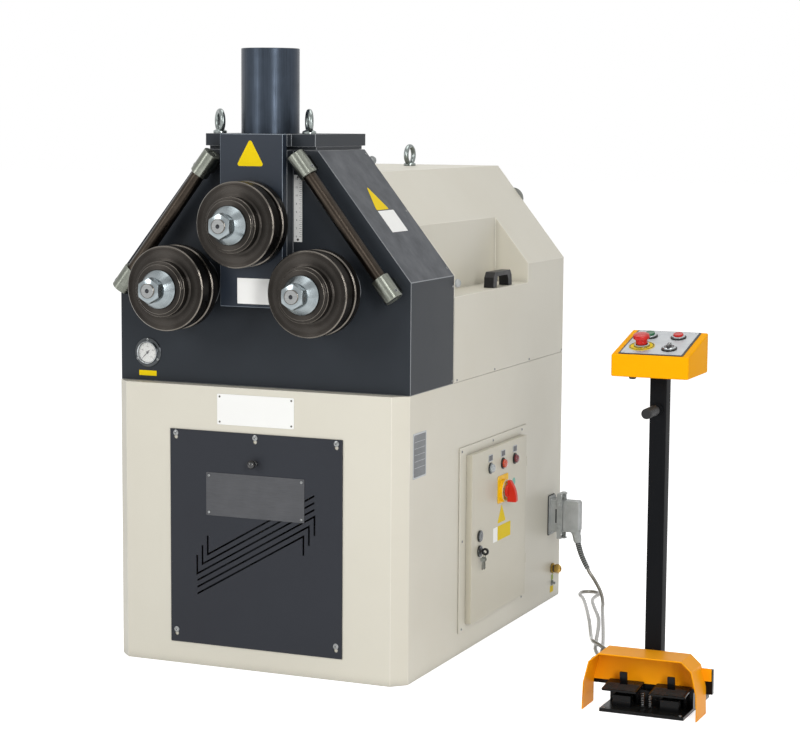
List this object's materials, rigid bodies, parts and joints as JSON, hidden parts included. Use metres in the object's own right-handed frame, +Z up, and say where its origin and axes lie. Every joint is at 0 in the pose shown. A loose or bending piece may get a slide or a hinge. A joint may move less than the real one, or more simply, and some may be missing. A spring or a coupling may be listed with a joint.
{
  "type": "ring roller",
  "caption": "Hydraulic three-roll bending machine on a cabinet, with a pedestal for its controls and pedals on a cable.",
  "frame": {"origin": "centre of the machine's footprint on the floor", "axes": "+X to the operator's right, towards the pedestal; -Y towards the operator, out of the rolls' faces; +Z up"},
  "size_m": [1.548, 1.416, 1.5473],
  "materials": {
    "cream_paint": "semi-gloss cream enamel on sheet steel",
    "anthracite_paint": "satin anthracite enamel on plate",
    "black_paint": "satin black powder coat",
    "yellow_paint": "semi-gloss yellow enamel",
    "orange_paint": "semi-gloss orange-yellow enamel",
    "grey_metal": "grey powder-coated die casting",
    "turned_steel": "turned steel with fine tool rings",
    "bar_steel": "oiled dark bar steel",
    "bright_steel": "bright machined steel",
    "zinc": "blue-white zinc plating",
    "chrome_plate": "hard chrome on the piston rod",
    "cast_iron": "grey painted housings of the drives inside",
    "black_plastic": "satin black plastic",
    "red_plastic": "gloss red plastic",
    "green_plastic": "gloss green plastic",
    "cable_sheath": "grey cable sheath"
  },
  "bodies": {
    "machine": {"cabinet_shell": "cream_paint", "head_shell": "anthracite_paint", "cap_plate": "anthracite_paint", "cylinder_tube": "anthracite_paint", "rear_cover": "cream_paint", "cover_handle": "black_plastic", "rear_breather": "grey_metal", "eye_bolt_front_left": "zinc", "eye_bolt_front_right": "zinc", "eye_bolt_rear": "zinc", "gauge_case": "black_plastic", "guide_bar_left": "bar_steel", "guide_bar_right": "bar_steel", "bar_socket_upper_left": "bright_steel", "bar_socket_upper_right": "bright_steel", "bar_socket_lower_left": "bright_steel", "bar_socket_lower_right": "bright_steel", "door_frame": "cream_paint", "connector_base": "grey_metal", "connector_hood": "grey_metal", "control_cable": "cable_sheath", "hydraulic_unit": "cast_iron", "lower_drive": "cast_iron", "pedal_base": "black_paint", "pedal_guard": "orange_paint", "column_tube": "black_paint"},
    "ram": {"ram_block": "anthracite_paint", "piston_rod": "chrome_plate", "top_drive": "cast_iron"},
    "left_roll": {"left_roll_shaft": "bright_steel", "left_roll_back_disc": "turned_steel", "left_roll_front_disc": "turned_steel", "left_roll_cone_washer": "zinc", "left_roll_nut": "zinc"},
    "right_roll": {"right_roll_shaft": "bright_steel", "right_roll_back_disc": "turned_steel", "right_roll_front_disc": "turned_steel", "right_roll_cone_washer": "zinc", "right_roll_nut": "zinc"},
    "top_roll": {"top_roll_shaft": "bright_steel", "top_roll_back_disc": "turned_steel", "top_roll_front_disc": "turned_steel", "top_roll_cone_washer": "zinc", "top_roll_nut": "zinc"},
    "panel": {"front_panel": "black_paint", "panel_knob": "black_plastic"},
    "needle": {"gauge_needle": "black_paint"},
    "door": {"cabinet_door": "cream_paint"},
    "main_switch": {"main_switch_grip": "red_plastic"},
    "key": {"door_key": "black_plastic"},
    "lever_lower": {"locking_lever_lower": "bright_steel"},
    "lever_upper": {"locking_lever_upper": "bright_steel"},
    "control_head": {"control_box": "yellow_paint"},
    "clamp": {"clamp_knob": "black_plastic"},
    "emergency_stop_button": {"emergency_stop": "red_plastic"},
    "start_push": {"start_button": "green_plastic"},
    "stop_push": {"stop_button": "red_plastic"},
    "jog": {"jog_selector": "black_plastic"},
    "left_pedal": {"pedal_left": "black_plastic"},
    "right_pedal": {"pedal_right": "black_plastic"}
  },
  "joints": [
    {"name": "ram_slide", "type": "slide", "parent": "machine", "child": "ram", "axis": [0, 0, 1], "range_m": [-0.075, 0.07]},
    {"name": "left_roll_spin", "type": "hinge", "parent": "machine", "child": "left_roll", "pos_m": [-0.192, -0.692, 0.962], "axis": [0, 1, 0], "continuous": true},
    {"name": "right_roll_spin", "type": "hinge", "parent": "machine", "child": "right_roll", "pos_m": [0.192, -0.692, 0.962], "axis": [0, 1, 0], "continuous": true},
    {"name": "top_roll_spin", "type": "hinge", "parent": "ram", "child": "top_roll", "pos_m": [0, -0.692, 1.122], "axis": [0, 1, 0], "continuous": true},
    {"name": "panel_lift", "type": "slide", "parent": "machine", "child": "panel", "axis": [0, 0, 1], "range_m": [0, 0.01]},
    {"name": "needle_turn", "type": "hinge", "parent": "machine", "child": "needle", "pos_m": [-0.322, -0.552, 0.785], "axis": [0, 1, 0], "range_deg": [0, 270]},
    {"name": "door_hinge", "type": "hinge", "parent": "machine", "child": "door", "pos_m": [0.415, 0.2363, 0.2965], "axis": [0, 0, 1], "range_deg": [0, 110]},
    {"name": "main_switch_turn", "type": "hinge", "parent": "door", "child": "main_switch", "pos_m": [0.431, 0.048, 0.392], "axis": [1, 0, 0], "range_deg": [0, 90]},
    {"name": "key_turn", "type": "hinge", "parent": "door", "child": "key", "pos_m": [0.425, -0.124, 0.258], "axis": [1, 0, 0], "range_deg": [0, 90]},
    {"name": "lever_lower_turn", "type": "hinge", "parent": "machine", "child": "lever_lower", "pos_m": [0.433, 0.502, 0.218], "axis": [0, 1, 0], "range_deg": [0, 38]},
    {"name": "lever_upper_turn", "type": "hinge", "parent": "machine", "child": "lever_upper", "pos_m": [0.433, 0.502, 0.282], "axis": [0, 1, 0], "range_deg": [-38, 0]},
    {"name": "head_height", "type": "slide", "parent": "machine", "child": "control_head", "axis": [0, 0, 1], "range_m": [0, 0.2]},
    {"name": "clamp_turn", "type": "hinge", "parent": "machine", "child": "clamp", "pos_m": [1.001, -0.534, 0.711], "axis": [0, 1, 0], "range_deg": [0, 360]},
    {"name": "emergency_stop_push", "type": "slide", "parent": "control_head", "child": "emergency_stop_button", "axis": [0, 0.2415, -0.9704], "range_m": [0, 0.005], "stiffness_N_per_m": 1500, "springref_m": -0.002},
    {"name": "start_button_push", "type": "slide", "parent": "control_head", "child": "start_push", "axis": [0, 0.2415, -0.9704], "range_m": [0, 0.004], "stiffness_N_per_m": 1200, "springref_m": -0.002},
    {"name": "stop_button_push", "type": "slide", "parent": "control_head", "child": "stop_push", "axis": [0, 0.2415, -0.9704], "range_m": [0, 0.004], "stiffness_N_per_m": 1200, "springref_m": -0.002},
    {"name": "jog_turn", "type": "hinge", "parent": "control_head", "child": "jog", "pos_m": [1.0345, -0.5244, 0.8544], "axis": [0, -0.2415, 0.9704], "range_deg": [-45, 45], "stiffness_Nm_per_rad": 0.15},
    {"name": "left_pedal_press", "type": "hinge", "parent": "machine", "child": "left_pedal", "pos_m": [0.943, -0.504, 0.052], "axis": [1, 0, 0], "range_deg": [0, 12], "stiffness_Nm_per_rad": 12, "springref_deg": -6.88},
    {"name": "right_pedal_press", "type": "hinge", "parent": "machine", "child": "right_pedal", "pos_m": [1.059, -0.504, 0.052], "axis": [1, 0, 0], "range_deg": [0, 12], "stiffness_Nm_per_rad": 12, "springref_deg": -6.88}
  ],
  "couplings": [
    {"joint": "right_roll_spin", "follows": "left_roll_spin", "ratio": 1},
    {"joint": "top_roll_spin", "follows": "left_roll_spin", "ratio": -1}
  ]
}
